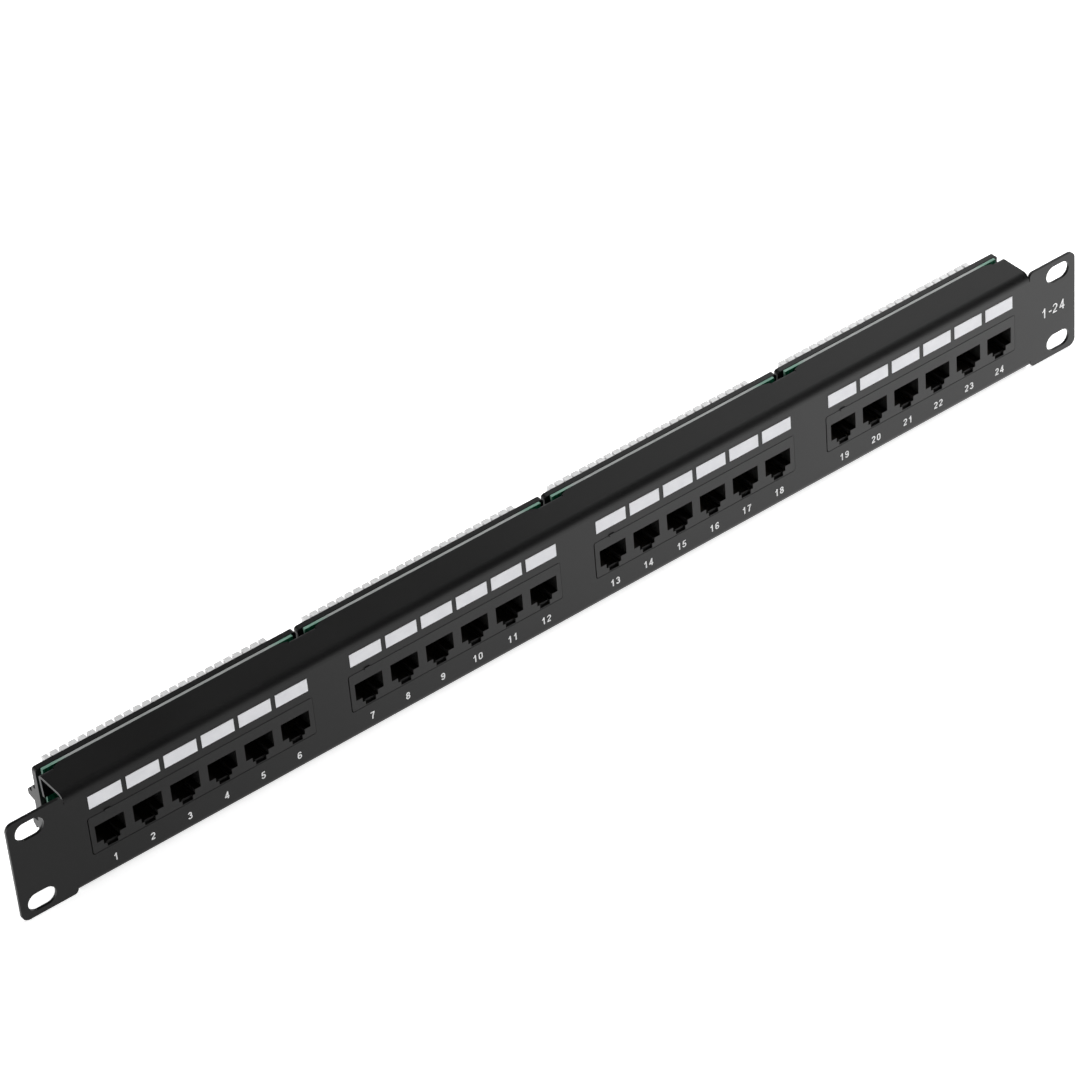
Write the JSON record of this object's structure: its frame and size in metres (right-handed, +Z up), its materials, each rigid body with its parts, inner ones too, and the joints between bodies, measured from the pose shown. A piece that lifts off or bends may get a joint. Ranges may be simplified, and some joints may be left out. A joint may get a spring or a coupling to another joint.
{
  "type": "rack patch panel",
  "caption": "Rack-mount patch panel: black steel channel plate with slotted ears, modules of network sockets in front, punch-down rows behind.",
  "frame": {"origin": "centre of the steel plate's front face, which is also the centre of the pattern of ear slots", "axes": "+X along the panel to the right seen from the front, +Y from the front face to the rear, +Z up"},
  "size_m": [0.4826, 0.029, 0.0436],
  "materials": {
    "painted_steel": "fine-textured black powder coat",
    "black_plastic": "satin moulded",
    "carrier_plastic": "matte moulded",
    "board": "green solder mask on glass-fibre board",
    "post_plastic": "off-white, slightly cloudy polycarbonate",
    "blade_metal": "tin-plated bronze",
    "contact_gold": "gold-plated spring wire",
    "screw_steel": "zinc plated",
    "label_white": "matte write-on film",
    "strip_label": "printed colour-code film"
  },
  "bodies": {
    "panel": {"panel_frame": "painted_steel", "jack_housing_1": "black_plastic", "contact_carrier_1": "carrier_plastic", "circuit_board_1": "board", "rear_housing_1": "black_plastic", "idc_strip_upper_1": "post_plastic", "idc_strip_lower_1": "post_plastic", "idc_blades_1": "blade_metal", "jack_housing_2": "black_plastic", "contact_carrier_2": "carrier_plastic", "circuit_board_2": "board", "rear_housing_2": "black_plastic", "idc_strip_upper_2": "post_plastic", "idc_strip_lower_2": "post_plastic", "idc_blades_2": "blade_metal", "jack_housing_3": "black_plastic", "contact_carrier_3": "carrier_plastic", "circuit_board_3": "board", "rear_housing_3": "black_plastic", "idc_strip_upper_3": "post_plastic", "idc_strip_lower_3": "post_plastic", "idc_blades_3": "blade_metal", "jack_housing_4": "black_plastic", "contact_carrier_4": "carrier_plastic", "circuit_board_4": "board", "rear_housing_4": "black_plastic", "idc_strip_upper_4": "post_plastic", "idc_strip_lower_4": "post_plastic", "idc_blades_4": "blade_metal", "contact_tails": "contact_gold", "module_screws": "screw_steel", "port_labels": "label_white", "idc_colour_strips": "strip_label"},
    "port_01_springs": {"port_01_contacts": "contact_gold"},
    "port_02_springs": {"port_02_contacts": "contact_gold"},
    "port_03_springs": {"port_03_contacts": "contact_gold"},
    "port_04_springs": {"port_04_contacts": "contact_gold"},
    "port_05_springs": {"port_05_contacts": "contact_gold"},
    "port_06_springs": {"port_06_contacts": "contact_gold"},
    "port_07_springs": {"port_07_contacts": "contact_gold"},
    "port_08_springs": {"port_08_contacts": "contact_gold"},
    "port_09_springs": {"port_09_contacts": "contact_gold"},
    "port_10_springs": {"port_10_contacts": "contact_gold"},
    "port_11_springs": {"port_11_contacts": "contact_gold"},
    "port_12_springs": {"port_12_contacts": "contact_gold"},
    "port_13_springs": {"port_13_contacts": "contact_gold"},
    "port_14_springs": {"port_14_contacts": "contact_gold"},
    "port_15_springs": {"port_15_contacts": "contact_gold"},
    "port_16_springs": {"port_16_contacts": "contact_gold"},
    "port_17_springs": {"port_17_contacts": "contact_gold"},
    "port_18_springs": {"port_18_contacts": "contact_gold"},
    "port_19_springs": {"port_19_contacts": "contact_gold"},
    "port_20_springs": {"port_20_contacts": "contact_gold"},
    "port_21_springs": {"port_21_contacts": "contact_gold"},
    "port_22_springs": {"port_22_contacts": "contact_gold"},
    "port_23_springs": {"port_23_contacts": "contact_gold"},
    "port_24_springs": {"port_24_contacts": "contact_gold"}
  },
  "joints": [
    {"name": "port_01_contact_flex", "type": "hinge", "parent": "panel", "child": "port_01_springs", "pos_m": [-0.20255, 0.0039, 0.00305], "axis": [1, 0, 0], "range_deg": [0, 14], "stiffness_Nm_per_rad": 0.05},
    {"name": "port_02_contact_flex", "type": "hinge", "parent": "panel", "child": "port_02_springs", "pos_m": [-0.18705, 0.0039, 0.00305], "axis": [1, 0, 0], "range_deg": [0, 14], "stiffness_Nm_per_rad": 0.05},
    {"name": "port_03_contact_flex", "type": "hinge", "parent": "panel", "child": "port_03_springs", "pos_m": [-0.17155, 0.0039, 0.00305], "axis": [1, 0, 0], "range_deg": [0, 14], "stiffness_Nm_per_rad": 0.05},
    {"name": "port_04_contact_flex", "type": "hinge", "parent": "panel", "child": "port_04_springs", "pos_m": [-0.15605, 0.0039, 0.00305], "axis": [1, 0, 0], "range_deg": [0, 14], "stiffness_Nm_per_rad": 0.05},
    {"name": "port_05_contact_flex", "type": "hinge", "parent": "panel", "child": "port_05_springs", "pos_m": [-0.14055, 0.0039, 0.00305], "axis": [1, 0, 0], "range_deg": [0, 14], "stiffness_Nm_per_rad": 0.05},
    {"name": "port_06_contact_flex", "type": "hinge", "parent": "panel", "child": "port_06_springs", "pos_m": [-0.12505, 0.0039, 0.00305], "axis": [1, 0, 0], "range_deg": [0, 14], "stiffness_Nm_per_rad": 0.05},
    {"name": "port_07_contact_flex", "type": "hinge", "parent": "panel", "child": "port_07_springs", "pos_m": [-0.09335, 0.0039, 0.00305], "axis": [1, 0, 0], "range_deg": [0, 14], "stiffness_Nm_per_rad": 0.05},
    {"name": "port_08_contact_flex", "type": "hinge", "parent": "panel", "child": "port_08_springs", "pos_m": [-0.07785, 0.0039, 0.00305], "axis": [1, 0, 0], "range_deg": [0, 14], "stiffness_Nm_per_rad": 0.05},
    {"name": "port_09_contact_flex", "type": "hinge", "parent": "panel", "child": "port_09_springs", "pos_m": [-0.06235, 0.0039, 0.00305], "axis": [1, 0, 0], "range_deg": [0, 14], "stiffness_Nm_per_rad": 0.05},
    {"name": "port_10_contact_flex", "type": "hinge", "parent": "panel", "child": "port_10_springs", "pos_m": [-0.04685, 0.0039, 0.00305], "axis": [1, 0, 0], "range_deg": [0, 14], "stiffness_Nm_per_rad": 0.05},
    {"name": "port_11_contact_flex", "type": "hinge", "parent": "panel", "child": "port_11_springs", "pos_m": [-0.03135, 0.0039, 0.00305], "axis": [1, 0, 0], "range_deg": [0, 14], "stiffness_Nm_per_rad": 0.05},
    {"name": "port_12_contact_flex", "type": "hinge", "parent": "panel", "child": "port_12_springs", "pos_m": [-0.01585, 0.0039, 0.00305], "axis": [1, 0, 0], "range_deg": [0, 14], "stiffness_Nm_per_rad": 0.05},
    {"name": "port_13_contact_flex", "type": "hinge", "parent": "panel", "child": "port_13_springs", "pos_m": [0.01585, 0.0039, 0.00305], "axis": [1, 0, 0], "range_deg": [0, 14], "stiffness_Nm_per_rad": 0.05},
    {"name": "port_14_contact_flex", "type": "hinge", "parent": "panel", "child": "port_14_springs", "pos_m": [0.03135, 0.0039, 0.00305], "axis": [1, 0, 0], "range_deg": [0, 14], "stiffness_Nm_per_rad": 0.05},
    {"name": "port_15_contact_flex", "type": "hinge", "parent": "panel", "child": "port_15_springs", "pos_m": [0.04685, 0.0039, 0.00305], "axis": [1, 0, 0], "range_deg": [0, 14], "stiffness_Nm_per_rad": 0.05},
    {"name": "port_16_contact_flex", "type": "hinge", "parent": "panel", "child": "port_16_springs", "pos_m": [0.06235, 0.0039, 0.00305], "axis": [1, 0, 0], "range_deg": [0, 14], "stiffness_Nm_per_rad": 0.05},
    {"name": "port_17_contact_flex", "type": "hinge", "parent": "panel", "child": "port_17_springs", "pos_m": [0.07785, 0.0039, 0.00305], "axis": [1, 0, 0], "range_deg": [0, 14], "stiffness_Nm_per_rad": 0.05},
    {"name": "port_18_contact_flex", "type": "hinge", "parent": "panel", "child": "port_18_springs", "pos_m": [0.09335, 0.0039, 0.00305], "axis": [1, 0, 0], "range_deg": [0, 14], "stiffness_Nm_per_rad": 0.05},
    {"name": "port_19_contact_flex", "type": "hinge", "parent": "panel", "child": "port_19_springs", "pos_m": [0.12505, 0.0039, 0.00305], "axis": [1, 0, 0], "range_deg": [0, 14], "stiffness_Nm_per_rad": 0.05},
    {"name": "port_20_contact_flex", "type": "hinge", "parent": "panel", "child": "port_20_springs", "pos_m": [0.14055, 0.0039, 0.00305], "axis": [1, 0, 0], "range_deg": [0, 14], "stiffness_Nm_per_rad": 0.05},
    {"name": "port_21_contact_flex", "type": "hinge", "parent": "panel", "child": "port_21_springs", "pos_m": [0.15605, 0.0039, 0.00305], "axis": [1, 0, 0], "range_deg": [0, 14], "stiffness_Nm_per_rad": 0.05},
    {"name": "port_22_contact_flex", "type": "hinge", "parent": "panel", "child": "port_22_springs", "pos_m": [0.17155, 0.0039, 0.00305], "axis": [1, 0, 0], "range_deg": [0, 14], "stiffness_Nm_per_rad": 0.05},
    {"name": "port_23_contact_flex", "type": "hinge", "parent": "panel", "child": "port_23_springs", "pos_m": [0.18705, 0.0039, 0.00305], "axis": [1, 0, 0], "range_deg": [0, 14], "stiffness_Nm_per_rad": 0.05},
    {"name": "port_24_contact_flex", "type": "hinge", "parent": "panel", "child": "port_24_springs", "pos_m": [0.20255, 0.0039, 0.00305], "axis": [1, 0, 0], "range_deg": [0, 14], "stiffness_Nm_per_rad": 0.05}
  ]
}
